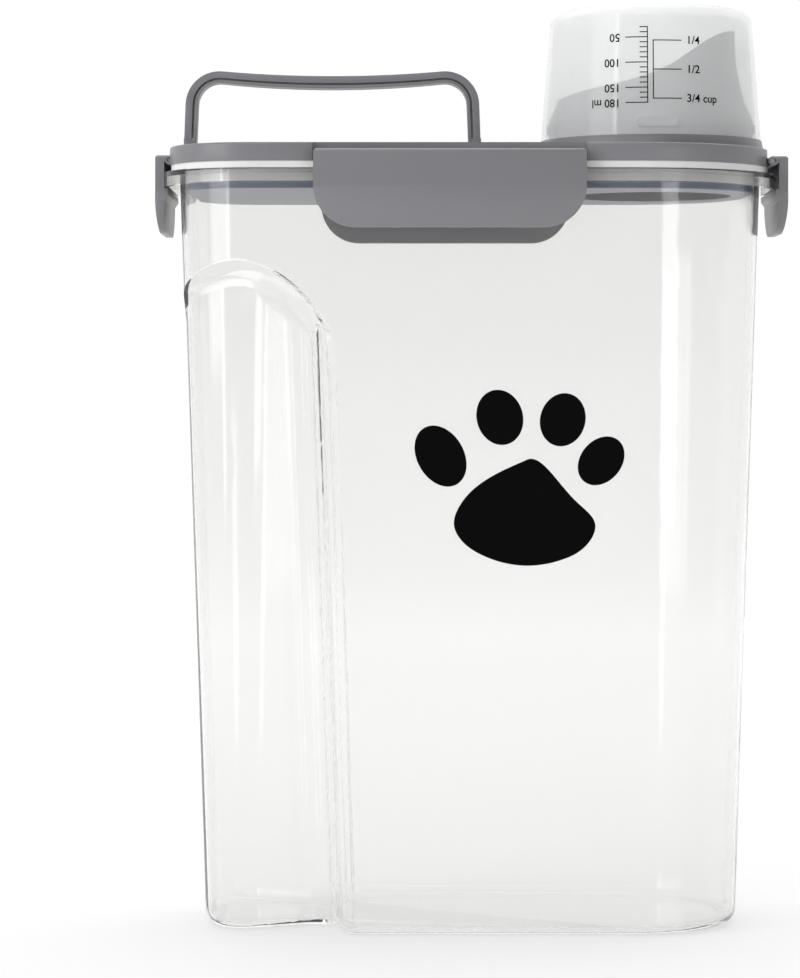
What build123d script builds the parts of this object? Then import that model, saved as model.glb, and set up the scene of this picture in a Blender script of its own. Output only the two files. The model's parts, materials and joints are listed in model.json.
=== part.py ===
from build123d import *
import math
import os

# Dry pet food container: a clear tapered box with hand grips pressed into its
# left end, a grey clip-on lid with a folding handle and a pouring spout, and a
# measuring cup that caps the spout. X runs along the length, the front is -Y.

# Driving dimensions of the clear body, in mm, at the neck under the rim
HALF_LENGTH = 113.0
HALF_DEPTH = 60.0
CORNER_LEFT = 28.0
CORNER_RIGHT = 50.0
DRAFT_IN = 9.5  # the foot is this much smaller than the neck all round
WALL = 1.8
FLOOR = 2.6
FOOT_RADIUS = 6.5

# Heights of the closed container
RIM_BOTTOM = 287.2
RIM_TOP = 292.8
SKIRT_BOTTOM = 295.5
LID_TOP = 302.6
PLUG_BOTTOM = 285.5
PLUG_LEDGE = 288.3

# Outlines, as distances out from the neck outline
RIM_OUT = 6.0
LID_OUT = 4.0
SKIRT_WALL = 3.2
PLUG_OUT = -4.4
PLUG_WALL = 2.0
PLUG_LIP_OUT = -2.6
GASKET_OUT = 3.4
GASKET_LEG_OUT = -2.3
LID_PLATE = 2.2
LID_EDGE = 1.0
GASKET_PLAY = 0.1

# Underside of the lid: its plate, its rim and collar widths and its lower edge
UNDER_PLATE = 1.6
UNDER_RIM = 6.0
UNDER_COLLAR = 2.1
UNDER_EDGE = 0.8

# Hand grips, seen from above at the foot: a nose at the left end, a ramp that
# leads in behind it, a scoop, and a rounded corner where the front face starts
NOSE_CENTRE = (-89.5, -22.0)
NOSE_RADIUS = 14.0
RAMP_ANGLE = 24.0
SCOOP_RADIUS = 9.0
GRIP_CORNER_X = -44.5
GRIP_CORNER_RADIUS = 8.0

# The arch that ends each grip, seen from the front
ARCH_TOP = 259.0
ARCH_START_X = -95.0
ARCH_LONG = 43.5
ARCH_HIGH = 51.0
ARCH_SINK = 0.5
ARCH_BLEND = 4.5

# Clips: a plate that hangs from a pin at the lid's edge and hooks the rim
PIN_HEIGHT = 297.9
PIN_RADIUS = 1.0
PIN_PLAY = 0.06
KNUCKLE_RADIUS = 1.9
CLIP_INNER = 2.2  # from the lid's edge to the plate's inner face
CLIP_WALL = 3.5
CLIP_BOTTOM = 270.1
CLIP_CORNER = 15.8
CLIP_TOP_CORNER = 1.5
CLIP_STRAIGHT = 286.0  # below this the outer face draws in
CLIP_MIDDLE = 276.0
CLIP_DRAW_IN = (0.25, 1.0)
CLIP_EDGE = 1.2
HOOK_TOP = 286.8
HOOK_BOTTOM = 282.8
HOOK_REACH = 1.3
HOOK_SLOPE = 1.8
NOTCH_DEPTH = 2.1
NOTCH_PLAY = 0.4
LUG_RADIUS = 1.7
LUG_WIDTH = 9.0
LUG_PLAY = 0.3
LUG_FLAT = 0.2  # the lug's top lies this far under its barrel's top
LUG_ROOM = 0.7  # the clip clears its lugs by this much all round
LUG_SPREAD = 0.28
# each clip: name, width, turn about Z, distance of its lid edge, shift along it
SIDE_SHIFT = -9.2
CLIPS = [
    ("front", 103.0, 0.0, HALF_DEPTH + LID_OUT, SIDE_SHIFT),
    ("rear", 103.0, 180.0, HALF_DEPTH + LID_OUT, -SIDE_SHIFT),
    ("left", 66.0, -90.0, HALF_LENGTH + LID_OUT, 0.0),
    ("right", 56.0, 90.0, HALF_LENGTH + LID_OUT, 0.0),
]

# Carrying handle and the shallow well that it folds into
HANDLE_LEFT = -113.4
HANDLE_RIGHT = 4.0
HANDLE_TOP = 336.2
HANDLE_SAG = 3.3
HANDLE_LEAN = 1.2
HANDLE_CORNER = 13.5
HANDLE_BAND = 2.8
HANDLE_WEB = 0.8
HANDLE_SECTION = 4.8
HANDLE_WIDTH = 9.6
HANDLE_GROOVE = 1.9
HANDLE_ROOT = 6.0
HANDLE_PIVOT = 302.4
HANDLE_PIN_RADIUS = 1.6
HANDLE_PIN_PLAY = 0.06
HANDLE_BOSS = 5.5
HANDLE_BOSS_ROUND = 3.6
HANDLE_PLAY = 0.4
WELL_FLOOR = 297.3
WELL_FRONT = -10.5
WELL_REAR = 35.5
WELL_CORNER = 5.0
WELL_WALL = 1.6

# Spout, its platform and the cup that covers it, all about one vertical axis
SPOUT_X = 71.3
PLATFORM_TOP = 307.1
PLATFORM_RADIUS = 43.8
PLATFORM_FOOT = 44.6
THROAT_RADIUS = 33.5
COLLAR_RADIUS = 40.2
SPOUT_TOP = 350.4
SPOUT_WALL = 1.8
# the spout's outer side above the collar: radius and height
SPOUT_FLARE = [(39.9, 315.3), (38.6, 318.9), (35.4, 328.8), (33.7, 338.0), (33.2, 351.5)]
# its pouring edge from the front: distance right of its axis, and height
SPOUT_LIP = [
    (-41.0, 321.9), (-25.3, 326.0), (-11.7, 328.6), (-4.2, 330.8), (4.1, 334.3),
    (11.9, 339.3), (19.1, 344.4), (26.5, 348.4), (33.6, SPOUT_TOP),
]
SEAL_GROOVE = 0.9
SEAL_BOTTOM = 310.6
SEAL_TOP = 313.4
SEAL_OUTER = 41.1

CUP_BASE_RADIUS = 43.6
CUP_TOP_RADIUS = 39.7
CUP_TOP = 358.2
CUP_WALL = 1.8
CUP_EDGE = 5.0
CUP_DISH = 1.6
CUP_DISH_RADIUS = 30.0
CUP_LUG = (15.0, 3.6, 1.2)
CUP_LUG_HEIGHT = 311.8
CUP_LUG_X = 70.8

# Paw print on the front face: thickness, and its parts from the foot's centre
PRINT_THICK = 0.2
PAW_PAD = [
    (20.4, 182.4), (8.5, 176.9), (-5.4, 164.7), (-7.5, 157.5), (-3.6, 150.5),
    (3.0, 146.1), (20.9, 142.0), (34.0, 144.4), (42.8, 149.7), (46.2, 157.8),
    (40.0, 165.5), (30.6, 176.0),
]
# each toe: x, height, half length, half width, lean to the right in degrees
PAW_TOES = [
    (-12.6, 183.7, 12.4, 8.9, -30.0),
    (9.9, 198.4, 10.6, 8.8, -15.0),
    (33.8, 197.5, 10.2, 8.6, 15.0),
    (48.4, 181.9, 10.2, 7.8, 40.0),
]

# Heights at which the body's taper is set
NECK = RIM_BOTTOM
TOO_FAR = 60.0  # overshoot of a cutting tool past the material


def outline(out):
    """The plan outline, grown by a distance, with its two left and right corner radii."""
    face = Rectangle(2 * (HALF_LENGTH + out), 2 * (HALF_DEPTH + out))
    left = [v for v in face.vertices() if v.X < 0]
    face = fillet(left, CORNER_LEFT + out)
    right = [v for v in face.vertices() if v.X > HALF_LENGTH + out - 1e-3]
    return fillet(right, CORNER_RIGHT + out)


def slab(out, bottom, top):
    """The outline as a plate between two heights."""
    return Pos(0, 0, bottom) * extrude(outline(out), top - bottom)


def ring(outer, inner, bottom, top):
    """A band round the outline between two distances and two heights."""
    return slab(outer, bottom, top) - slab(inner, bottom - 1, top + 1)


def disc(radius, bottom, top):
    """An upright cylinder about the spout's axis."""
    return Pos(SPOUT_X, 0, bottom) * extrude(Circle(radius), top - bottom)


def taper(height):
    """How far the outline has drawn in at a height, going down from the neck."""
    return -DRAFT_IN * (1 - height / NECK)


def tapered_box(grow, bottom, top):
    """The tapered body as a solid between two heights."""
    low = Pos(0, 0, bottom) * outline(taper(bottom) + grow)
    high = Pos(0, 0, top) * outline(taper(top) + grow)
    return loft([low, high], ruled=True)


def grip_section(out):
    """What a hand grip removes at one height, for a surface moved out by a distance."""
    nose, nose_radius = Vector(*NOSE_CENTRE), NOSE_RADIUS + out
    corner_y = GRIP_CORNER_RADIUS - (HALF_DEPTH - DRAFT_IN) - out
    corner = Vector(GRIP_CORNER_X - out, corner_y)
    wall_x = corner.X - GRIP_CORNER_RADIUS
    angle = math.radians(RAMP_ANGLE)
    along = Vector(math.cos(angle), math.sin(angle))
    away = Vector(math.sin(angle), -math.cos(angle))
    ramp_start = nose + away * nose_radius
    # the scoop touches both the ramp and the wall that leads out to the corner
    run = (wall_x - SCOOP_RADIUS * (1 + away.X) - ramp_start.X) / along.X
    ramp_end = ramp_start + along * run
    scoop = ramp_end + away * SCOOP_RADIUS
    wall_in, wall_out = Vector(wall_x, scoop.Y), Vector(wall_x, corner.Y)
    west = nose - Vector(nose_radius, 0)
    south = corner - Vector(0, GRIP_CORNER_RADIUS)
    far = HALF_DEPTH + TOO_FAR
    left = west.X - TOO_FAR
    edges = [
        arc_between(nose, west, ramp_start),
        Line(ramp_start, ramp_end),
        arc_between(scoop, ramp_end, wall_in),
        Line(wall_in, wall_out),
        arc_between(corner, wall_out, south),
        Line(south, (south.X, -far)),
        Line((south.X, -far), (left, -far)),
        Line((left, -far), (left, west.Y)),
        Line((left, west.Y), west),
    ]
    return make_face(edges)


def arc_between(centre, start, end):
    """The shorter arc about a centre from one point to another."""
    middle = ((start - centre).normalized() + (end - centre).normalized()).normalized()
    return ThreePointArc(start, centre + middle * (start - centre).length, end)


def arch(out):
    """The grip's opening seen from the front; it sinks as it goes deeper."""
    top = ARCH_TOP + out
    west = -HALF_LENGTH - TOO_FAR
    side = ARCH_START_X + ARCH_LONG + out
    low = ARCH_TOP - ARCH_HIGH
    edges = [
        Line((west, top), (ARCH_START_X, top)),
        EllipticalCenterArc((ARCH_START_X, low), ARCH_LONG + out, ARCH_HIGH + out, 0),
        Line((side, low), (side + 20, -TOO_FAR)),
        Line((side + 20, -TOO_FAR), (west, -TOO_FAR)),
        Line((west, -TOO_FAR), (west, top)),
    ]
    face = make_face(edges)
    start = Plane((0, -HALF_DEPTH, 0), x_dir=(1, 0, 0), z_dir=(0, -1, 0))
    inward = Vector(0, 1, -ARCH_SINK)
    outer = extrude(start * face, TOO_FAR, dir=-inward)
    inner = extrude(start * face, HALF_DEPTH, dir=inward)
    return outer + inner


def is_crease(edge):
    """Is this an edge where the arch's slope meets the grip's floor?"""
    middle = edge @ 0.5
    inside = abs(middle.X) < HALF_LENGTH and middle.Y > 2 - HALF_DEPTH
    high = ARCH_TOP - 1.6 * ARCH_HIGH < middle.Z < ARCH_TOP
    return inside and high and edge.geom_type in (GeomType.BSPLINE, GeomType.ELLIPSE)


def grip_cutter(wall):
    """One hand grip's tool; a wall moves it in by the body's thickness."""
    below, above = -5.0, ARCH_TOP + 20
    low = Pos(0, 0, below) * grip_section(taper(below) + DRAFT_IN - wall)
    high = Pos(0, 0, above) * grip_section(taper(above) + DRAFT_IN - wall)
    tool = loft([low, high], ruled=True) & arch(wall)
    return fillet([e for e in tool.edges() if is_crease(e)], ARCH_BLEND)


def gripped_box(wall, bottom, foot_radius):
    """The tapered box with both grips and a rounded foot, moved in by a wall."""
    box = tapered_box(-wall, bottom, RIM_BOTTOM + 1)
    cutter = grip_cutter(wall)
    box = box - cutter - mirror(cutter, Plane.XZ)
    return fillet(box.edges().group_by(Axis.Z)[0], foot_radius)


def container_body():
    outer = gripped_box(0, 0, FOOT_RADIUS)
    inner = gripped_box(WALL, FLOOR, FOOT_RADIUS - WALL)
    rim = slab(RIM_OUT, RIM_BOTTOM, RIM_TOP)
    rim = rim - ring(RIM_OUT - WALL, 0, RIM_BOTTOM - 1, RIM_TOP - WALL)
    return outer + rim - inner - slab(-WALL, RIM_BOTTOM, RIM_TOP + 1)


def well_box(grow, bottom, top):
    """The handle's well as a rounded block, grown by a distance."""
    west = HANDLE_LEFT - HANDLE_PLAY - grow
    east = HANDLE_RIGHT + HANDLE_PLAY + grow
    south, north = WELL_FRONT - grow, WELL_REAR + grow
    face = Rectangle(east - west, north - south)
    face = fillet(face.vertices(), WELL_CORNER + grow)
    middle = ((west + east) / 2, (south + north) / 2)
    return Pos(middle[0], middle[1], bottom) * extrude(face, top - bottom)


def clip_place(clip):
    """Where a clip's own frame lies: Y points in to the lid, X runs along it."""
    turn, edge, shift = clip[2:]
    return Rot(0, 0, turn) * Pos(shift, -edge, 0)


def lug_centres(width):
    """Where a clip's two lugs stand along it."""
    return [-LUG_SPREAD * width, LUG_SPREAD * width]


def along_clip(face, width, centre=0.0):
    """Sweeps a profile drawn in the clip's Y and Z along its length."""
    start = Plane((centre - width / 2, 0, 0), x_dir=(0, 1, 0), z_dir=(1, 0, 0))
    return extrude(start * face, width)


def clip_round(radius, width, centre=0.0):
    """A cylinder about the clip's pin axis."""
    return along_clip(Pos(0, PIN_HEIGHT) * Circle(radius), width, centre)


def block(west, east, south, north, bottom, top):
    """A box between two corners."""
    size = (east - west, north - south, top - bottom)
    middle = ((west + east) / 2, (south + north) / 2, (bottom + top) / 2)
    return Pos(*middle) * Box(*size)


def clip(width):
    """One clip in its own frame, hanging shut, with the lid's edge at Y 0."""
    inner, outer = -CLIP_INNER, -CLIP_INNER - CLIP_WALL
    top = PIN_HEIGHT + KNUCKLE_RADIUS
    draw_in, toe = CLIP_DRAW_IN[0], (outer + CLIP_DRAW_IN[1], CLIP_BOTTOM)
    hook = inner + HOOK_REACH
    root = PIN_HEIGHT - KNUCKLE_RADIUS / 3
    profile = make_face(
        [
            Line((0, top), (outer + CLIP_EDGE, top)),
            RadiusArc((outer + CLIP_EDGE, top), (outer, top - CLIP_EDGE), -CLIP_EDGE),
            Line((outer, top - CLIP_EDGE), (outer, CLIP_STRAIGHT)),
            ThreePointArc((outer, CLIP_STRAIGHT), (outer + draw_in, CLIP_MIDDLE), toe),
            Line(toe, (inner, CLIP_BOTTOM)),
            Line((inner, CLIP_BOTTOM), (inner, HOOK_BOTTOM)),
            Line((inner, HOOK_BOTTOM), (hook, HOOK_BOTTOM + HOOK_SLOPE)),
            Line((hook, HOOK_BOTTOM + HOOK_SLOPE), (hook, HOOK_TOP)),
            Line((hook, HOOK_TOP), (inner, HOOK_TOP)),
            Line((inner, HOOK_TOP), (inner, root)),
            Line((inner, root), (0, PIN_HEIGHT - KNUCKLE_RADIUS)),
            Line((0, PIN_HEIGHT - KNUCKLE_RADIUS), (0, top)),
        ]
    )
    solid = along_clip(profile, width) + clip_round(KNUCKLE_RADIUS, width)
    front = Rectangle(width, top - CLIP_BOTTOM)
    low = [v for v in front.vertices() if v.Y < 0]
    front = fillet(low, CLIP_CORNER)
    high = [v for v in front.vertices() if v.Y > (top - CLIP_BOTTOM) / 2 - 1e-3]
    front = fillet(high, CLIP_TOP_CORNER)
    face_on = Plane((0, 10, (top + CLIP_BOTTOM) / 2), x_dir=(1, 0, 0), z_dir=(0, -1, 0))
    solid = solid & extrude(face_on * front, 30)
    for centre in lug_centres(width):
        solid = solid - clip_round(KNUCKLE_RADIUS + LUG_ROOM, LUG_WIDTH + 2 * LUG_PLAY, centre)
    return solid - clip_round(PIN_RADIUS + PIN_PLAY, width + 2)


def clip_pin(width):
    """A clip's pin, just short of the clip's ends."""
    return clip_round(PIN_RADIUS, width - 4)


def clip_lugs(width):
    """The lid's two lugs that hold a clip's pin."""
    lugs = []
    for centre in lug_centres(width):
        barrel = clip_round(LUG_RADIUS, LUG_WIDTH, centre)
        west, east = centre - LUG_WIDTH / 2, centre + LUG_WIDTH / 2
        low, high = PIN_HEIGHT - LUG_RADIUS, PIN_HEIGHT + LUG_RADIUS - LUG_FLAT
        lugs.append(barrel + block(west, east, 0, NOTCH_DEPTH + 0.2, low, high))
    return (lugs[0] + lugs[1]) - clip_round(PIN_RADIUS, width)


def platform():
    """The raised ring under the cup, with its sloped shoulder."""
    foot = Pos(SPOUT_X, 0, LID_TOP) * Circle(PLATFORM_FOOT)
    top = Pos(SPOUT_X, 0, PLATFORM_TOP) * Circle(PLATFORM_RADIUS)
    return loft([foot, top], ruled=True)


def handle_boss(x):
    """A pillar in the well that holds a handle pin, with a rounded top."""
    west, east, half = x - HANDLE_BOSS / 2, x + HANDLE_BOSS / 2, HANDLE_BOSS_ROUND
    low = block(west, east, -half, half, WELL_FLOOR - 1, HANDLE_PIVOT)
    return low + handle_round(half, west, east)


def handle_round(radius, west, east):
    """A cylinder about the handle's axis."""
    start = Plane((west, 0, HANDLE_PIVOT), x_dir=(0, 1, 0), z_dir=(1, 0, 0))
    return extrude(start * Circle(radius), east - west)


def boss_centres():
    """Where the two handle pillars stand, just inside the handle's legs."""
    inset = HANDLE_SECTION + HANDLE_PLAY + HANDLE_BOSS / 2
    return [HANDLE_LEFT + inset, HANDLE_RIGHT - inset]


def lid_panel():
    lid = slab(LID_OUT, SKIRT_BOTTOM, LID_TOP)
    lid = fillet(lid.edges().group_by(Axis.Z)[-1], LID_EDGE)
    lid = lid - slab(LID_OUT - SKIRT_WALL, SKIRT_BOTTOM - 1, LID_TOP - LID_PLATE)
    lid = lid + ring(PLUG_OUT, PLUG_OUT - PLUG_WALL, PLUG_LEDGE, LID_TOP - 1)
    lid = lid + (well_box(WELL_WALL, SKIRT_BOTTOM, LID_TOP - 1) & slab(LID_OUT - 1, 0, LID_TOP))
    lid = lid - well_box(0, WELL_FLOOR, LID_TOP + 1)
    lid = lid + platform() + disc(THROAT_RADIUS + 3, LID_TOP - 5, LID_TOP)
    lid = lid - disc(THROAT_RADIUS + 0.1, SKIRT_BOTTOM - 1, PLATFORM_TOP + 1)
    for each in CLIPS:
        width = each[1]
        notch = block(
            -width / 2 - NOTCH_PLAY, width / 2 + NOTCH_PLAY,
            -5, NOTCH_DEPTH, SKIRT_BOTTOM - 1, LID_TOP + 1,
        )
        lid = lid - clip_place(each) * notch
        lid = lid + clip_place(each) * clip_lugs(width)
    for x in boss_centres():
        lid = lid + handle_boss(x)
    return lid - handle_round(HANDLE_PIN_RADIUS, HANDLE_LEFT, HANDLE_RIGHT)


def lid_underplate():
    plate = slab(PLUG_LIP_OUT, PLUG_BOTTOM, PLUG_LEDGE)
    hollow = slab(PLUG_LIP_OUT - UNDER_RIM, PLUG_BOTTOM + UNDER_PLATE, PLUG_LEDGE + 1)
    hollow = hollow - disc(THROAT_RADIUS + UNDER_COLLAR, PLUG_BOTTOM, PLUG_LEDGE + 2)
    plate = plate - hollow
    plate = fillet(plate.edges().group_by(Axis.Z)[0], UNDER_EDGE)
    return plate - disc(THROAT_RADIUS + 0.1, PLUG_BOTTOM - 1, PLUG_LEDGE + 1)


def lid_gasket():
    inner = PLUG_OUT + GASKET_PLAY
    flat = ring(GASKET_OUT, inner, RIM_TOP, SKIRT_BOTTOM)
    leg = ring(GASKET_LEG_OUT, inner, PLUG_LEDGE, RIM_TOP)
    return flat + leg


def lip_profile():
    """The spout's pouring edge from the front, closed well above the spout."""
    west, east = SPOUT_X - TOO_FAR, SPOUT_X + TOO_FAR
    top = SPOUT_TOP + TOO_FAR
    edge = Spline([(SPOUT_X + x, z) for x, z in SPOUT_LIP])
    start, end = edge @ 0, edge @ 1
    edges = [
        Line((west, start.Y), start),
        edge,
        Line(end, (east, end.Y)),
        Line((east, end.Y), (east, top)),
        Line((east, top), (west, top)),
        Line((west, top), (west, start.Y)),
    ]
    return make_face(edges)


def spout_side(wall, bottom):
    """The spout as a solid of revolution, moved in by a wall."""
    flare = [(radius - wall, height) for radius, height in SPOUT_FLARE]
    low, high = flare[0], flare[-1]
    curve = Spline([Vector(*point) for point in flare], tangents=[(-0.1, 1), (0, 1)])
    edges = [
        Line((0, bottom), (low[0], bottom)),
        Line((low[0], bottom), low),
        curve,
        Line(high, (0, high[1])),
        Line((0, high[1]), (0, bottom)),
    ]
    half = Plane.XZ * make_face(edges)
    return Pos(SPOUT_X, 0, 0) * revolve(half, Axis.Z)


def pour_spout():
    throat = disc(THROAT_RADIUS, PLUG_BOTTOM, PLATFORM_TOP + 1)
    collar = disc(COLLAR_RADIUS, PLATFORM_TOP, SPOUT_FLARE[0][1])
    shell = throat + collar + spout_side(0, PLATFORM_TOP)
    bore = spout_side(SPOUT_WALL, PLATFORM_TOP + 2)
    bore = bore + disc(THROAT_RADIUS - SPOUT_WALL, PLUG_BOTTOM - 1, PLATFORM_TOP + 3)
    groove = disc(COLLAR_RADIUS + 1, SEAL_BOTTOM, SEAL_TOP)
    groove = groove - disc(COLLAR_RADIUS - SEAL_GROOVE, SEAL_BOTTOM - 1, SEAL_TOP + 1)
    start = Plane((0, -TOO_FAR, 0), x_dir=(1, 0, 0), z_dir=(0, -1, 0))
    cut = extrude(start * lip_profile(), -2 * TOO_FAR)
    return shell - bore - groove - cut


def cup_seal():
    band = disc(SEAL_OUTER, SEAL_BOTTOM, SEAL_TOP)
    return band - disc(COLLAR_RADIUS - SEAL_GROOVE, SEAL_BOTTOM - 1, SEAL_TOP + 1)


def cup_radius(height):
    """The cup's outer radius at a height."""
    part = (height - PLATFORM_TOP) / (CUP_TOP - PLATFORM_TOP)
    return CUP_BASE_RADIUS + (CUP_TOP_RADIUS - CUP_BASE_RADIUS) * part


def measuring_cup():
    base = Pos(SPOUT_X, 0, PLATFORM_TOP) * Circle(CUP_BASE_RADIUS)
    top = Pos(SPOUT_X, 0, CUP_TOP) * Circle(CUP_TOP_RADIUS)
    shell = loft([base, top], ruled=True)
    shell = fillet(shell.edges().group_by(Axis.Z)[-1], CUP_EDGE)
    ceiling = CUP_TOP - CUP_DISH - CUP_WALL
    inner_base = Pos(SPOUT_X, 0, PLATFORM_TOP - 0.01) * Circle(CUP_BASE_RADIUS - CUP_WALL)
    inner_top = Pos(SPOUT_X, 0, ceiling) * Circle(cup_radius(ceiling) - CUP_WALL)
    inner = loft([inner_base, inner_top], ruled=True)
    inner = fillet(inner.edges().group_by(Axis.Z)[-1], CUP_EDGE - CUP_WALL)
    shell = shell - disc(CUP_DISH_RADIUS, CUP_TOP - CUP_DISH, CUP_TOP + 1)
    length, height, proud = CUP_LUG
    reach = cup_radius(CUP_LUG_HEIGHT) + proud
    lug = Box(length, 2 * reach, height)
    lug = fillet(lug.edges().filter_by(Axis.Y), height / 3)
    return shell + Pos(CUP_LUG_X, 0, CUP_LUG_HEIGHT) * lug - inner


def handle_outline(inset):
    """The handle's outer edge from the front, moved in by a distance."""
    foot = HANDLE_PIVOT
    west, east = HANDLE_LEFT + inset, HANDLE_RIGHT - inset
    top = HANDLE_TOP - inset
    middle = (west + east) / 2
    edges = [
        Line((west, foot), (west + HANDLE_LEAN, top)),
        ThreePointArc(
            (west + HANDLE_LEAN, top), (middle, top - HANDLE_SAG), (east - HANDLE_LEAN, top)
        ),
        Line((east - HANDLE_LEAN, top), (east, foot)),
        Line((east, foot), (west, foot)),
    ]
    face = make_face(edges)
    high = [v for v in face.vertices() if v.Y > foot + 10]
    return fillet(high, HANDLE_CORNER - inset)


def handle_layer(outer, inner, width):
    """One layer of the handle between two insets, as wide front to back as given."""
    start = Plane((0, width / 2, 0), x_dir=(1, 0, 0), z_dir=(0, -1, 0))
    below = Pos((HANDLE_LEFT + HANDLE_RIGHT) / 2, HANDLE_PIVOT - 5) * Rectangle(
        HANDLE_RIGHT - HANDLE_LEFT - 2 * inner, 12
    )
    face = handle_outline(outer) - handle_outline(inner) - below
    return extrude(start * face, width)


def carry_handle():
    groove_end = HANDLE_BAND + HANDLE_WEB
    band = handle_layer(0, HANDLE_BAND, HANDLE_WIDTH)
    web = handle_layer(HANDLE_BAND, groove_end, HANDLE_WIDTH - 2 * HANDLE_GROOVE)
    lip = handle_layer(groove_end, HANDLE_SECTION, HANDLE_WIDTH)
    handle = band + web + lip
    for west in (HANDLE_LEFT, HANDLE_RIGHT - HANDLE_SECTION):
        east = west + HANDLE_SECTION
        eye = handle_round(HANDLE_WIDTH / 2, west, east)
        half = HANDLE_WIDTH / 2
        root = block(west, east, -half, half, HANDLE_PIVOT, HANDLE_PIVOT + HANDLE_ROOT)
        handle = handle + eye + root
        handle = handle - handle_round(HANDLE_PIN_RADIUS + HANDLE_PIN_PLAY, west - 1, east + 1)
    return handle


def handle_pin(side):
    """A handle pin: from inside the leg's outer face to the pillar's inner face."""
    boss = boss_centres()[side]
    if side == 0:
        return handle_round(HANDLE_PIN_RADIUS, HANDLE_LEFT + 0.4, boss + HANDLE_BOSS / 2)
    return handle_round(HANDLE_PIN_RADIUS, boss - HANDLE_BOSS / 2, HANDLE_RIGHT - 0.4)


def paw_print():
    """The printed paw as thin pads that lie on the sloping front face."""
    slope = math.atan(DRAFT_IN / NECK)
    foot = HALF_DEPTH - DRAFT_IN
    normal = (0, -math.cos(slope), -math.sin(slope))
    face = Plane((0, -foot, 0), x_dir=(1, 0, 0), z_dir=normal)
    rise = 1 / math.cos(slope)
    pad = make_face(Spline([(x, z * rise) for x, z in PAW_PAD], periodic=True))
    pads = [extrude(face * pad, PRINT_THICK)]
    for x, z, long, short, lean in PAW_TOES:
        toe = Pos(x, z * rise) * Rot(0, 0, -lean) * Ellipse(short, long)
        pads.append(extrude(face * toe, PRINT_THICK))
    return Compound(children=pads)


def save(name, shape):
    export_step(shape, f"parts/{name}.step")


if __name__ == "__main__":
    os.makedirs("parts", exist_ok=True)
    save("container_body", container_body())
    save("paw_print", paw_print())
    save("lid_panel", lid_panel())
    save("lid_underplate", lid_underplate())
    save("lid_gasket", lid_gasket())
    save("pour_spout", pour_spout())
    save("cup_seal", cup_seal())
    save("measuring_cup", measuring_cup())
    save("carry_handle", carry_handle())
    save("handle_pin_left", handle_pin(0))
    save("handle_pin_right", handle_pin(1))
    for each in CLIPS:
        save(f"{each[0]}_clip", clip_place(each) * clip(each[1]))
        save(f"{each[0]}_clip_pin", clip_place(each) * clip_pin(each[1]))
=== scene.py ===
import json
import math

import bmesh
import bpy
from bpy.props import FloatProperty, FloatVectorProperty, IntProperty, PointerProperty, StringProperty
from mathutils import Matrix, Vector

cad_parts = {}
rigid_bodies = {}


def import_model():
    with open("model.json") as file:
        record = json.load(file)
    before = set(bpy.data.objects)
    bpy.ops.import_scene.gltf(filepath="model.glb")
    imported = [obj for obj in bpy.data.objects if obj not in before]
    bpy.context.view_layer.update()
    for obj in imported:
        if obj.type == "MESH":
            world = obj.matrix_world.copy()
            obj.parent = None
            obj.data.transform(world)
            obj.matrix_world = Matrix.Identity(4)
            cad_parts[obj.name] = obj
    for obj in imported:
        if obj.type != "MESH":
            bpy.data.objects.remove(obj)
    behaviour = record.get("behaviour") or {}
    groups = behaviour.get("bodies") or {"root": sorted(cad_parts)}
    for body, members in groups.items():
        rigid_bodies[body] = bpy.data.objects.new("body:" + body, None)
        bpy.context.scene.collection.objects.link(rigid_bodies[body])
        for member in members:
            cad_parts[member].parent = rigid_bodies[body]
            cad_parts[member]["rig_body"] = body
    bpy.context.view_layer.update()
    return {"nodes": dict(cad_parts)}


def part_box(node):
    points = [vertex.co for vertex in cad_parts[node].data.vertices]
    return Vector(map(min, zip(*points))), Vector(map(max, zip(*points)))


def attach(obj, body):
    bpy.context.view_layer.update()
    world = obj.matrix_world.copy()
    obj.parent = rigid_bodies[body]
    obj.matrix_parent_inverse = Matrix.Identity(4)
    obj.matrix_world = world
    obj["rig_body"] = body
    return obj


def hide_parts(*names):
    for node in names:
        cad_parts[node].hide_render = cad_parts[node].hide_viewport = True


bl_info = {
    "name": "Clear Pet Food Container",
    "version": (1, 0, 0),
    "blender": (4, 5, 0),
    "location": "3D View > Sidebar > Container",
    "description": "Finishes a clip-lid food container with clear walls, grey mouldings and cup print",
    "category": "Object",
}

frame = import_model()
NODES = frame["nodes"]
MM = 0.001
GROUP_GRAIN = "moulded_grain"
GROUP_SCUFF = "light_scuffs"
COAT_WEIGHT = 0.6
COAT_ROUGHNESS = 0.08
BEVEL_ANGLE = math.radians(32)
SHARP_ANGLE = math.radians(28)
CUP_NARROWING = 3.9 * MM
INK_CLEARANCE = 0.01 * MM
VOLUME_RULER = -4.2 * MM
SHORT_TICK = 3.0 * MM
LONG_TICK = 8.6 * MM
VOLUME_FIGURES = 10.6 * MM
CUP_RULER = -2.0 * MM
CUP_TICK = 11.0 * MM
CUP_FIGURES = 13.0 * MM


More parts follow.
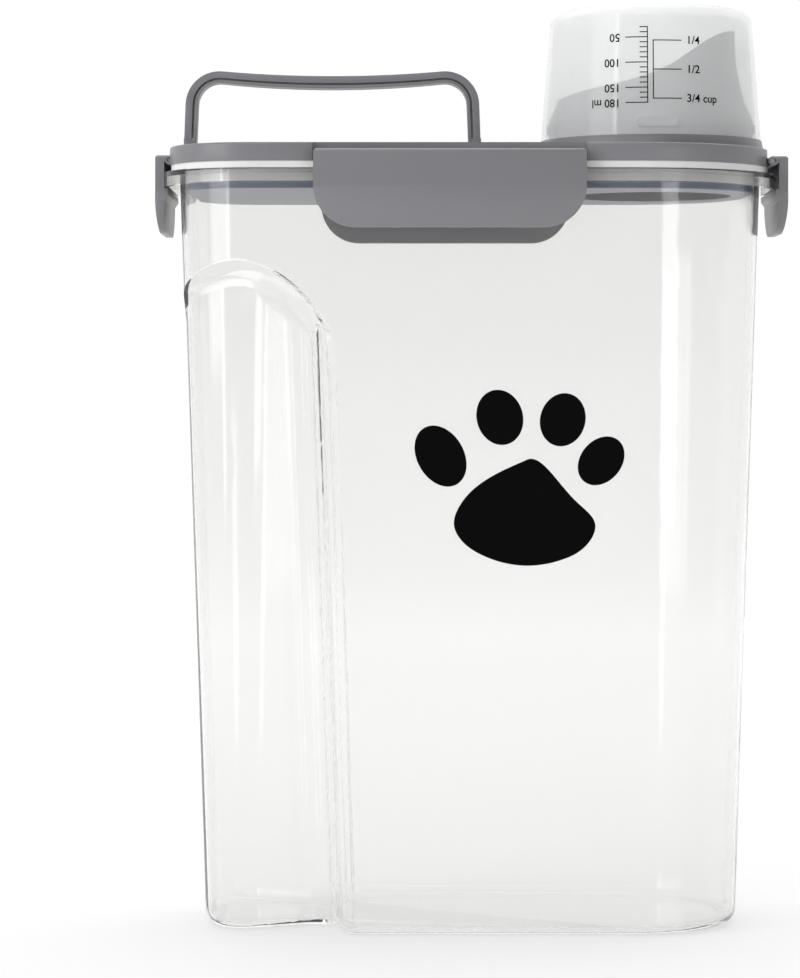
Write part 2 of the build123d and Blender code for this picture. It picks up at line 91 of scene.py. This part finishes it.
class ContainerFinish(bpy.types.PropertyGroup):
    """Colours and finishes that a user would change."""

    shell_colour: FloatVectorProperty(
        name="Shell colour", description="Grey of the lid, clips, spout and handle",
        subtype="COLOR", size=3, min=0.0, max=1.0, default=(0.192, 0.19, 0.204),
    )
    # The underside colour is a darker, bluer copy of the shell grey: painted shade under the lid.
    underside_colour: FloatVectorProperty(
        name="Underside colour", description="Cooler grey of the lid's underside",
        subtype="COLOR", size=3, min=0.0, max=1.0, default=(0.1, 0.125, 0.19),
    )
    shell_gloss: FloatProperty(
        name="Shell roughness", description="How satin the grey mouldings are",
        subtype="FACTOR", min=0.0, max=1.0, default=0.36,
    )
    wall_tint: FloatVectorProperty(
        name="Wall tint", description="Tint of the clear wall",
        subtype="COLOR", size=3, min=0.0, max=1.0, default=(0.935, 0.934, 0.928),
    )
    wall_roughness: FloatProperty(
        name="Wall roughness", description="Haze of the clear wall",
        subtype="FACTOR", min=0.0, max=1.0, default=0.045,
    )
    cup_tint: FloatVectorProperty(
        name="Cup tint", description="Tint of the measuring cup",
        subtype="COLOR", size=3, min=0.0, max=1.0, default=(0.7, 0.7, 0.702),
    )
    cup_roughness: FloatProperty(
        name="Cup frost", description="How frosted the measuring cup is",
        subtype="FACTOR", min=0.0, max=1.0, default=0.11,
    )
    seal_colour: FloatVectorProperty(
        name="Seal colour", description="White of the silicone seals",
        subtype="COLOR", size=3, min=0.0, max=1.0, default=(0.8, 0.8, 0.8),
    )
    edge_radius: FloatProperty(
        name="Edge radius", description="Rounding of the moulded edges",
        subtype="DISTANCE", unit="LENGTH", min=0.0, max=0.002, default=0.45 * MM,
    )


class CupPrint(bpy.types.PropertyGroup):
    """Sizes of the scale printed on the measuring cup."""

    letter_height: FloatProperty(
        name="Letter height", description="Height of the printed figures",
        subtype="DISTANCE", unit="LENGTH", default=4.4 * MM,
    )
    line_width: FloatProperty(
        name="Line width", description="Width of the printed lines",
        subtype="DISTANCE", unit="LENGTH", default=0.38 * MM,
    )
    ink_height: FloatProperty(
        name="Ink height", description="How far the ink stands off the cup",
        subtype="DISTANCE", unit="LENGTH", default=0.06 * MM,
    )
    first_mark: FloatProperty(
        name="First mark", description="Height of the 50 ml mark",
        subtype="DISTANCE", unit="LENGTH", default=344.7 * MM,
    )
    mark_step: FloatProperty(
        name="Mark step", description="Distance between two 10 ml ticks",
        subtype="DISTANCE", unit="LENGTH", default=1.95 * MM,
    )
    cup_mark: FloatProperty(
        name="Quarter cup", description="Height of the quarter cup mark",
        subtype="DISTANCE", unit="LENGTH", default=343.4 * MM,
    )
    cup_step: FloatProperty(
        name="Quarter step", description="Distance between the quarter cup marks",
        subtype="DISTANCE", unit="LENGTH", default=11.25 * MM,
    )
    letter_weight: FloatProperty(
        name="Letter weight", description="How much the figures are thickened",
        subtype="DISTANCE", unit="LENGTH", default=0.05 * MM,
    )
    least: IntProperty(name="Least mark", description="Millilitres at the top tick", default=30)
    most: IntProperty(name="Last mark", description="Millilitres at the last tick", default=180)
    unit_word: StringProperty(
        name="Unit", description="Unit printed after the last figure", default="ml",
    )


class ContainerStage(bpy.types.PropertyGroup):
    """Camera, floor and light."""

    camera_place: FloatVectorProperty(
        name="Camera place", description="Where the camera stands",
        subtype="XYZ", unit="LENGTH", size=3, default=(-0.028, -1.366, 0.205),
    )
    camera_lens: FloatProperty(
        name="Lens", description="Focal length in millimetres", default=126.9,
    )
    camera_drop: FloatProperty(
        name="Vertical shift", description="Shift that sets the horizon above the middle",
        default=-0.091,
    )
    floor_colour: FloatVectorProperty(
        name="Floor colour", description="Colour of the floor and backdrop",
        subtype="COLOR", size=3, min=0.0, max=1.0, default=(0.4, 0.4, 0.4),
    )
    floor_glow: FloatProperty(
        name="Floor glow", description="Light that the floor gives by the object", default=0.55,
    )
    backdrop_glow: FloatProperty(
        name="Backdrop glow", description="Light that the backdrop gives", default=0.77,
    )
    front_light: FloatProperty(
        name="Front light", description="Strength of the surroundings before the object", default=0.27,
    )
    back_light: FloatProperty(
        name="Back light", description="Strength of the surroundings behind it", default=1.0,
    )


def finish_values():
    """The colours and finishes set in the scene."""
    return bpy.context.scene.container_finish


def new_socket(group, name, way, kind, default=None):
    """A named input or output of a shader node group."""
    socket = group.interface.new_socket(name=name, in_out=way, socket_type=kind)
    if default is not None:
        socket.default_value = default
    return socket


def add_node(tree, kind, at, **values):
    """A node with its properties set and its inputs given by name."""
    node = tree.nodes.new(kind)
    node.location = at
    for key, value in values.pop("props", {}).items():
        setattr(node, key, value)
    for key, value in values.get("inputs", {}).items():
        node.inputs[key].default_value = value
    return node


def grain_group():
    """Mottled colour, uneven gloss and fine grain of a moulded plastic."""
    found = bpy.data.node_groups.get(GROUP_GRAIN)
    if found:
        return found
    tree = bpy.data.node_groups.new(GROUP_GRAIN, "ShaderNodeTree")
    new_socket(tree, "Colour", "INPUT", "NodeSocketColor", (0.5, 0.5, 0.5, 1))
    new_socket(tree, "Mottle", "INPUT", "NodeSocketFloat", 0.04)
    new_socket(tree, "Roughness", "INPUT", "NodeSocketFloat", 0.4)
    new_socket(tree, "Unevenness", "INPUT", "NodeSocketFloat", 0.08)
    new_socket(tree, "Grain size", "INPUT", "NodeSocketFloat", 1800.0)
    new_socket(tree, "Colour", "OUTPUT", "NodeSocketColor")
    new_socket(tree, "Roughness", "OUTPUT", "NodeSocketFloat")
    new_socket(tree, "Height", "OUTPUT", "NodeSocketFloat")
    start = add_node(tree, "NodeGroupInput", (-900, 0))
    end = add_node(tree, "NodeGroupOutput", (600, 0))
    place = add_node(tree, "ShaderNodeTexCoord", (-900, -300))
    cloud = add_node(tree, "ShaderNodeTexNoise", (-650, 200), inputs={"Scale": 26.0, "Detail": 5.0})
    grain = add_node(tree, "ShaderNodeTexNoise", (-650, -300), inputs={"Detail": 2.0})
    tree.links.new(place.outputs["Object"], cloud.inputs["Vector"])
    tree.links.new(place.outputs["Object"], grain.inputs["Vector"])
    tree.links.new(start.outputs["Grain size"], grain.inputs["Scale"])
    centred = add_node(tree, "ShaderNodeMath", (-450, 200), props={"operation": "SUBTRACT"})
    centred.inputs[1].default_value = 0.5
    tree.links.new(cloud.outputs["Fac"], centred.inputs[0])
    tone = add_node(tree, "ShaderNodeMath", (-250, 250), props={"operation": "MULTIPLY_ADD"})
    tone.inputs[2].default_value = 1.0
    tree.links.new(centred.outputs[0], tone.inputs[0])
    tree.links.new(start.outputs["Mottle"], tone.inputs[1])
    shade = add_node(tree, "ShaderNodeVectorMath", (0, 250), props={"operation": "SCALE"})
    tree.links.new(start.outputs["Colour"], shade.inputs[0])
    tree.links.new(tone.outputs[0], shade.inputs["Scale"])
    tree.links.new(shade.outputs[0], end.inputs["Colour"])
    gloss = add_node(tree, "ShaderNodeMath", (-250, 0), props={"operation": "MULTIPLY_ADD"})
    tree.links.new(centred.outputs[0], gloss.inputs[0])
    tree.links.new(start.outputs["Unevenness"], gloss.inputs[1])
    tree.links.new(start.outputs["Roughness"], gloss.inputs[2])
    tree.links.new(gloss.outputs[0], end.inputs["Roughness"])
    tree.links.new(grain.outputs["Fac"], end.inputs["Height"])
    return tree


def scuff_group():
    """Faint long scuffs and haze on a clear plastic, as roughness and height."""
    found = bpy.data.node_groups.get(GROUP_SCUFF)
    if found:
        return found
    tree = bpy.data.node_groups.new(GROUP_SCUFF, "ShaderNodeTree")
    new_socket(tree, "Roughness", "INPUT", "NodeSocketFloat", 0.03)
    new_socket(tree, "Scuffs", "INPUT", "NodeSocketFloat", 0.02)
    new_socket(tree, "Roughness", "OUTPUT", "NodeSocketFloat")
    new_socket(tree, "Height", "OUTPUT", "NodeSocketFloat")
    start = add_node(tree, "NodeGroupInput", (-900, 0))
    end = add_node(tree, "NodeGroupOutput", (500, 0))
    place = add_node(tree, "ShaderNodeTexCoord", (-900, -300))
    stretch = add_node(tree, "ShaderNodeMapping", (-700, -300))
    stretch.inputs["Scale"].default_value = (1.0, 1.0, 0.18)
    tree.links.new(place.outputs["Object"], stretch.inputs["Vector"])
    scuff = add_node(tree, "ShaderNodeTexNoise", (-450, -100), inputs={"Scale": 60.0, "Detail": 2.0})
    tree.links.new(stretch.outputs[0], scuff.inputs["Vector"])
    sharp = add_node(tree, "ShaderNodeMapRange", (-220, -100))
    sharp.inputs["From Min"].default_value = 0.52
    sharp.inputs["From Max"].default_value = 0.74
    tree.links.new(scuff.outputs["Fac"], sharp.inputs["Value"])
    rough = add_node(tree, "ShaderNodeMath", (100, 50), props={"operation": "MULTIPLY_ADD"})
    tree.links.new(sharp.outputs["Result"], rough.inputs[0])
    tree.links.new(start.outputs["Scuffs"], rough.inputs[1])
    tree.links.new(start.outputs["Roughness"], rough.inputs[2])
    tree.links.new(rough.outputs[0], end.inputs["Roughness"])
    wave = add_node(tree, "ShaderNodeTexNoise", (-450, -450), inputs={"Scale": 9.0, "Detail": 1.0})
    tree.links.new(place.outputs["Object"], wave.inputs["Vector"])
    tree.links.new(wave.outputs["Fac"], end.inputs["Height"])
    return tree


def blank_material(name):
    """A material with only a Principled BSDF and its output; returns it with both."""
    material = bpy.data.materials.new(name)
    material.use_nodes = True
    tree = material.node_tree
    tree.nodes.clear()
    shader = add_node(tree, "ShaderNodeBsdfPrincipled", (0, 0))
    out = add_node(tree, "ShaderNodeOutputMaterial", (320, 0))
    tree.links.new(shader.outputs[0], out.inputs["Surface"])
    return material, tree, shader


def add_bump(tree, shader, height, strength, distance):
    """Feeds a height into the shader's normal."""
    bump = add_node(tree, "ShaderNodeBump", (-220, -320))
    bump.inputs["Strength"].default_value = strength
    bump.inputs["Distance"].default_value = distance
    tree.links.new(height, bump.inputs["Height"])
    tree.links.new(bump.outputs["Normal"], shader.inputs["Normal"])


def moulded(name, colour, roughness, mottle=0.05, uneven=0.08, size=1800.0, bump=0.12, specular=0.5):
    """An opaque moulded plastic or rubber."""
    found = bpy.data.materials.get(name)
    if found:
        return found
    material, tree, shader = blank_material(name)
    grain = add_node(tree, "ShaderNodeGroup", (-480, 0), props={"node_tree": grain_group()})
    grain.inputs["Colour"].default_value = (*colour, 1)
    grain.inputs["Mottle"].default_value = mottle
    grain.inputs["Roughness"].default_value = roughness
    grain.inputs["Unevenness"].default_value = uneven
    grain.inputs["Grain size"].default_value = size
    tree.links.new(grain.outputs["Colour"], shader.inputs["Base Color"])
    tree.links.new(grain.outputs["Roughness"], shader.inputs["Roughness"])
    shader.inputs["Specular IOR Level"].default_value = specular
    add_bump(tree, shader, grain.outputs["Height"], bump, 0.05 * MM)
    return material


def clear(name, tint, roughness, scuffs, ior, ripple, passing):
    """A clear or frosted moulded plastic, which lets a share of the light pass."""
    found = bpy.data.materials.get(name)
    if found:
        return found
    material, tree, shader = blank_material(name)
    scuff = add_node(tree, "ShaderNodeGroup", (-480, 0), props={"node_tree": scuff_group()})
    scuff.inputs["Roughness"].default_value = roughness
    scuff.inputs["Scuffs"].default_value = scuffs
    tree.links.new(scuff.outputs["Roughness"], shader.inputs["Roughness"])
    shader.inputs["Base Color"].default_value = (*tint, 1)
    shader.inputs["Transmission Weight"].default_value = passing
    shader.inputs["IOR"].default_value = ior
    shader.inputs["Coat Weight"].default_value = COAT_WEIGHT
    shader.inputs["Coat Roughness"].default_value = COAT_ROUGHNESS
    add_bump(tree, shader, scuff.outputs["Height"], ripple, 0.6 * MM)
    return material


def steel():
    """Drawn wire of the pins."""
    found = bpy.data.materials.get("drawn_steel")
    if found:
        return found
    material, tree, shader = blank_material("drawn_steel")
    grain = add_node(tree, "ShaderNodeGroup", (-480, 0), props={"node_tree": grain_group()})
    grain.inputs["Colour"].default_value = (0.6, 0.6, 0.62, 1)
    grain.inputs["Roughness"].default_value = 0.28
    grain.inputs["Grain size"].default_value = 900.0
    tree.links.new(grain.outputs["Colour"], shader.inputs["Base Color"])
    tree.links.new(grain.outputs["Roughness"], shader.inputs["Roughness"])
    shader.inputs["Metallic"].default_value = 1.0
    add_bump(tree, shader, grain.outputs["Height"], 0.1, 0.03 * MM)
    return material


def shell_material():
    """The satin grey of the lid, clips, spout and handle."""
    values = finish_values()
    return moulded("satin_grey_shell", tuple(values.shell_colour), values.shell_gloss)


def seal_material():
    """The white silicone of the lid's seal."""
    colour = tuple(finish_values().seal_colour)
    return moulded("white_silicone", colour, 0.5, mottle=0.03, size=700.0, bump=0.05, specular=0.35)


def ink_material():
    """The black ink of the paw and the scale."""
    colour = (0.003, 0.003, 0.0035)
    return moulded("black_ink", colour, 0.4, mottle=0.3, size=2600.0, bump=0.05, specular=0.02)


def paint(item, material):
    """Gives an object one material."""
    item.data.materials.clear()
    item.data.materials.append(material)


def welded_mesh(node):
    """A CAD node's mesh with its split corners joined and its flat faces merged."""
    net = bmesh.new()
    net.from_mesh(NODES[node].data)
    bmesh.ops.remove_doubles(net, verts=net.verts, dist=1e-6)
    bmesh.ops.dissolve_limit(
        net, angle_limit=math.radians(0.6), verts=net.verts, edges=net.edges, delimit={"NORMAL"}
    )
    mesh = bpy.data.meshes.new(node + "_net")
    net.to_mesh(mesh)
    net.free()
    return mesh


def softened(node, material, radius):
    """A node's moulding with rounded edges, which stands for the node and moves with it."""
    body = NODES[node]["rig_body"]
    piece = bpy.data.objects.new(node + "_moulding", welded_mesh(node))
    bpy.context.scene.collection.objects.link(piece)
    bevel = piece.modifiers.new("round", "BEVEL")
    bevel.width = radius
    bevel.segments = 2
    bevel.limit_method = "ANGLE"
    bevel.angle_limit = BEVEL_ANGLE
    bevel.use_clamp_overlap = True
    apply_modifiers(piece)
    for face in piece.data.polygons:
        face.use_smooth = True
    piece.data.set_sharp_from_angle(angle=SHARP_ANGLE)
    paint(piece, material)
    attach(piece, body)
    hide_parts(node)
    return piece


def apply_modifiers(piece):
    """Turns a piece's modifiers into mesh."""
    bpy.context.view_layer.update()
    graph = bpy.context.evaluated_depsgraph_get()
    mesh = bpy.data.meshes.new_from_object(piece.evaluated_get(graph))
    piece.modifiers.clear()
    piece.data = mesh


class CONTAINER_OT_body(bpy.types.Operator):
    """Gives the clear body its finish and the paw its ink."""

    bl_idname = "container.body"
    bl_label = "Clear body"

    def execute(self, context):
        values = finish_values()
        wall = clear(
            "clear_wall", tuple(values.wall_tint), values.wall_roughness,
            scuffs=0.02, ior=1.1, ripple=0.03, passing=0.97,
        )
        paint(NODES["container_body"], wall)
        paint(NODES["paw_print"], ink_material())
        return {"FINISHED"}


class CONTAINER_OT_lid(bpy.types.Operator):
    """Finishes the lid, its underside, the spout and the seals."""

    bl_idname = "container.lid"
    bl_label = "Lid and spout"

    def execute(self, context):
        values = finish_values()
        radius = values.edge_radius
        softened("lid_panel", shell_material(), radius * 0.6)
        softened("pour_spout", shell_material(), radius)
        # The underplate gets a darker, bluer copy of the shell material: painted shade under the lid.
        shaded_underside = moulded("shaded_grey_underside", tuple(values.underside_colour), values.shell_gloss)
        paint(NODES["lid_underplate"], shaded_underside)
        paint(NODES["lid_gasket"], seal_material())
        soft = moulded("grey_silicone", tuple(values.shell_colour), 0.55, size=700.0, specular=0.3)
        paint(NODES["cup_seal"], soft)
        return {"FINISHED"}


class CONTAINER_OT_clips(bpy.types.Operator):
    """Finishes the four clips and their pins."""

    bl_idname = "container.clips"
    bl_label = "Clips"

    def execute(self, context):
        radius = finish_values().edge_radius
        for side in ("front", "rear", "left", "right"):
            softened(side + "_clip", shell_material(), radius * 1.5)
            paint(NODES[side + "_clip_pin"], steel())
        return {"FINISHED"}


class CONTAINER_OT_handle(bpy.types.Operator):
    """Finishes the folding handle and its pins."""

    bl_idname = "container.handle"
    bl_label = "Handle"

    def execute(self, context):
        softened("carry_handle", shell_material(), finish_values().edge_radius)
        paint(NODES["handle_pin_left"], steel())
        paint(NODES["handle_pin_right"], steel())
        return {"FINISHED"}


class CONTAINER_OT_cup(bpy.types.Operator):
    """Gives the measuring cup its frosted finish and prints its scale."""

    bl_idname = "container.cup"
    bl_label = "Measuring cup"

    def execute(self, context):
        values = finish_values()
        frost = clear(
            "frosted_cup", tuple(values.cup_tint), values.cup_roughness,
            scuffs=0.04, ior=1.25, ripple=0.04, passing=0.97,
        )
        paint(NODES["measuring_cup"], frost)
        CupScale().build()
        return {"FINISHED"}


class CupScale:
    """The scale on the cup, drawn flat in metres and wrapped round the cup's cone."""

    def __init__(self):
        self.values = bpy.context.scene.container_print
        self.low, self.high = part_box("measuring_cup")
        self.centre = (self.low.x + self.high.x) / 2
        self.base_radius = (self.high.x - self.low.x) / 2
        self.top_radius = self.base_radius - CUP_NARROWING
        self.net = bmesh.new()

    def radius(self, height):
        """The cup's outer radius at a height."""
        part = (height - self.low.z) / (self.high.z - self.low.z)
        return self.base_radius + (self.top_radius - self.base_radius) * part

    def wrap(self, along, height, lift):
        """The point on the front of the cone at an arc length from its middle."""
        radius = self.radius(height) + lift
        turn = along / self.radius(height)
        return Vector((self.centre + radius * math.sin(turn), -radius * math.cos(turn), height))

    def bar(self, west, east, low, high):
        """A printed line as a thin wrapped block."""
        steps = max(1, round((east - west) / (1.5 * MM)))
        lifts = (INK_CLEARANCE, self.values.ink_height)
        rings = []
        for step in range(steps + 1):
            along = west + (east - west) * step / steps
            corners = [(low, lifts[0]), (low, lifts[1]), (high, lifts[1]), (high, lifts[0])]
            rings.append([self.net.verts.new(self.wrap(along, z, lift)) for z, lift in corners])
        for one, two in zip(rings, rings[1:]):
            for k in range(4):
                n = (k + 1) % 4
                self.net.faces.new((one[k], one[n], two[n], two[k]))
        self.net.faces.new(rings[0][::-1])
        self.net.faces.new(rings[-1])

    def words(self, text, along, height, align, flipped):
        """Printed figures, upright or turned half round."""
        curve = bpy.data.curves.new("figures", "FONT")
        curve.body = text
        curve.size = self.values.letter_height
        curve.offset = self.values.letter_weight
        curve.extrude = self.values.ink_height / 2
        curve.align_x = align
        curve.align_y = "CENTER"
        holder = bpy.data.objects.new("figures", curve)
        bpy.context.scene.collection.objects.link(holder)
        bpy.context.view_layer.update()
        graph = bpy.context.evaluated_depsgraph_get()
        mesh = bpy.data.meshes.new_from_object(holder.evaluated_get(graph))
        turn = -1 if flipped else 1
        for vertex in mesh.vertices:
            x, y, z = vertex.co
            lift = self.values.ink_height / 2 + z
            vertex.co = self.wrap(along + turn * x, height + turn * y, max(lift, INK_CLEARANCE))
        self.net.from_mesh(mesh)
        bpy.data.objects.remove(holder)
        bpy.data.curves.remove(curve)
        bpy.data.meshes.remove(mesh)

    def height_of(self, volume):
        """Where a volume's tick stands."""
        return self.values.first_mark - (volume - 50) / 10 * self.values.mark_step

    def volume_ticks(self):
        """The ruler in millilitres: short ticks each 10 ml, long ones with figures."""
        values = self.values
        half, ruler = values.line_width / 2, VOLUME_RULER
        top, end = self.height_of(values.least), self.height_of(values.most)
        self.bar(ruler - half, ruler + half, end - half, top + half)
        for volume in range(values.least, values.most + 1, 10):
            height = self.height_of(volume)
            last = volume == values.most
            long = volume % 50 == 0 or last
            reach = LONG_TICK if long else SHORT_TICK
            self.bar(ruler - reach, ruler, height - half, height + half)
            if long:
                figure = f"{volume} {values.unit_word}" if last else str(volume)
                self.words(figure, ruler - VOLUME_FIGURES, height, "LEFT", True)

    def cup_ticks(self):
        """The bracket with the quarter cups."""
        values = self.values
        half, ruler = values.line_width / 2, CUP_RULER
        start, step = values.cup_mark, values.cup_step
        self.bar(ruler - half, ruler + half, start - 2 * step - half, start + half)
        for k, figure in enumerate(("1/4", "1/2", "3/4 cup")):
            height = start - k * step
            self.bar(ruler, ruler + CUP_TICK, height - half, height + half)
            self.words(figure, ruler + CUP_FIGURES, height, "LEFT", False)

    def build(self):
        """Prints both scales as one piece that moves with the cup."""
        self.volume_ticks()
        self.cup_ticks()
        mesh = bpy.data.meshes.new("cup_scale")
        bmesh.ops.recalc_face_normals(self.net, faces=self.net.faces)
        self.net.to_mesh(mesh)
        self.net.free()
        piece = bpy.data.objects.new("cup_scale", mesh)
        bpy.context.scene.collection.objects.link(piece)
        paint(piece, ink_material())
        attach(piece, "cup")


def area_light(name, place, target, size, power):
    """A soft box that faces a point."""
    lamp = bpy.data.lights.new(name, "AREA")
    lamp.shape = "RECTANGLE"
    lamp.size, lamp.size_y = size
    lamp.energy = power
    item = bpy.data.objects.new(name, lamp)
    item.location = place
    item.rotation_euler = (Vector(target) - Vector(place)).to_track_quat("-Z", "Y").to_euler()
    bpy.context.scene.collection.objects.link(item)
    return item


class CONTAINER_OT_stage(bpy.types.Operator):
    """Sets the floor, backdrop, lights and camera."""

    bl_idname = "container.stage"
    bl_label = "Stage"

    def execute(self, context):
        values = context.scene.container_stage
        self.floor(values)
        self.world(context.scene, values)
        middle = (0, 0, 0.2)
        area_light("key_left", (-1.35, -0.95, 0.75), middle, (0.95, 1.3), 11)
        area_light("front_soft", (-0.5, -2.6, 1.7), middle, (1.6, 1.0), 13)
        area_light("strip_left", (-1.05, -1.25, 0.55), middle, (0.12, 1.1), 2.5)
        area_light("window_right", (0.95, -1.45, 0.16), middle, (0.45, 0.3), 1.6)
        area_light("top_soft", (0.1, 0.5, 1.9), middle, (1.6, 1.6), 16)
        lens = bpy.data.cameras.new("camera")
        lens.lens = values.camera_lens
        lens.shift_y = values.camera_drop
        lens.clip_end = 50
        camera = bpy.data.objects.new("camera", lens)
        camera.location = values.camera_place
        camera.rotation_euler = (math.pi / 2, 0, 0)
        context.scene.collection.objects.link(camera)
        context.scene.camera = camera
        return {"FINISHED"}

    def floor(self, values):
        """One sheet that is the floor and curves up into a backdrop."""
        bend, back, high, wide = 1.2, 2.2, 3.0, 5.0
        line = [(-4.0, 0.0), (back, 0.0)]
        for k in range(1, 17):
            turn = math.radians(90 * k / 16)
            line.append((back + bend * math.sin(turn), bend * (1 - math.cos(turn))))
        line.append((back + bend, high))
        net = bmesh.new()
        rows = [[net.verts.new((x, y, z)) for x in (-wide, wide)] for y, z in line]
        for one, two in zip(rows, rows[1:]):
            net.faces.new((one[0], one[1], two[1], two[0])).smooth = True
        mesh = bpy.data.meshes.new("studio_sweep")
        net.to_mesh(mesh)
        net.free()
        sweep = bpy.data.objects.new("studio_sweep", mesh)
        bpy.context.scene.collection.objects.link(sweep)
        paint(sweep, self.paper(values))

    def paper(self, values):
        """White paper that glows more towards the back, where the picture burns out."""
        material, tree, shader = blank_material("studio_paper")
        shader.inputs["Base Color"].default_value = (*values.floor_colour, 1)
        shader.inputs["Roughness"].default_value = 0.85
        shader.inputs["Specular IOR Level"].default_value = 0.15
        shader.inputs["Emission Color"].default_value = (1, 1, 1, 1)
        place = add_node(tree, "ShaderNodeTexCoord", (-700, -200))
        split = add_node(tree, "ShaderNodeSeparateXYZ", (-500, -200))
        glow = add_node(tree, "ShaderNodeMapRange", (-300, -200))
        glow.inputs["From Min"].default_value = 0.15
        glow.inputs["From Max"].default_value = 1.6
        glow.inputs["To Min"].default_value = values.floor_glow
        glow.inputs["To Max"].default_value = values.backdrop_glow
        tree.links.new(place.outputs["Object"], split.inputs[0])
        tree.links.new(split.outputs["Y"], glow.inputs["Value"])
        tree.links.new(glow.outputs["Result"], shader.inputs["Emission Strength"])
        return material

    def world(self, scene, values):
        """Surroundings that are dim on the camera's side and bright behind the object."""
        world = bpy.data.worlds.new("soft_white")
        scene.world = world
        world.use_nodes = True
        tree = world.node_tree
        place = add_node(tree, "ShaderNodeTexCoord", (-800, 0))
        split = add_node(tree, "ShaderNodeSeparateXYZ", (-600, 0))
        fade = add_node(tree, "ShaderNodeMapRange", (-400, 0))
        fade.inputs["From Min"].default_value = -0.5
        fade.inputs["From Max"].default_value = 0.5
        fade.inputs["To Min"].default_value = values.front_light
        fade.inputs["To Max"].default_value = values.back_light
        tree.links.new(place.outputs["Generated"], split.inputs[0])
        tree.links.new(split.outputs["Y"], fade.inputs["Value"])
        background = tree.nodes["Background"]
        background.inputs["Color"].default_value = (1, 1, 1, 1)
        tree.links.new(fade.outputs["Result"], background.inputs["Strength"])
        scene.view_settings.view_transform = "Standard"
        scene.cycles.use_denoising = True
        scene.cycles.max_bounces = 24
        scene.cycles.transmission_bounces = 20
        scene.cycles.transparent_max_bounces = 24


class CONTAINER_PT_panel(bpy.types.Panel):
    """Lists the container's pieces and the values that a user would change."""

    bl_label = "Container"
    bl_idname = "CONTAINER_PT_panel"
    bl_space_type = "VIEW_3D"
    bl_region_type = "UI"
    bl_category = "Container"

    def draw(self, context):
        for maker in OPERATORS:
            self.layout.operator(maker.bl_idname)
        for holder in (
            context.scene.container_finish,
            context.scene.container_print,
            context.scene.container_stage,
        ):
            box = self.layout.box()
            for name in holder.__annotations__:
                box.prop(holder, name)


GROUPS = {
    "container_finish": ContainerFinish,
    "container_print": CupPrint,
    "container_stage": ContainerStage,
}
OPERATORS = (
    CONTAINER_OT_stage,
    CONTAINER_OT_body,
    CONTAINER_OT_lid,
    CONTAINER_OT_clips,
    CONTAINER_OT_handle,
    CONTAINER_OT_cup,
)


def register():
    for name, group in GROUPS.items():
        bpy.utils.register_class(group)
        setattr(bpy.types.Scene, name, PointerProperty(type=group))
    for maker in (*OPERATORS, CONTAINER_PT_panel):
        bpy.utils.register_class(maker)


def unregister():
    for maker in (CONTAINER_PT_panel, *reversed(OPERATORS)):
        bpy.utils.unregister_class(maker)
    for name, group in GROUPS.items():
        delattr(bpy.types.Scene, name)
        bpy.utils.unregister_class(group)


def main():
    register()
    bpy.ops.container.stage()
    bpy.ops.container.body()
    bpy.ops.container.lid()
    bpy.ops.container.clips()
    bpy.ops.container.handle()
    bpy.ops.container.cup()


if __name__ == "__main__":
    main()
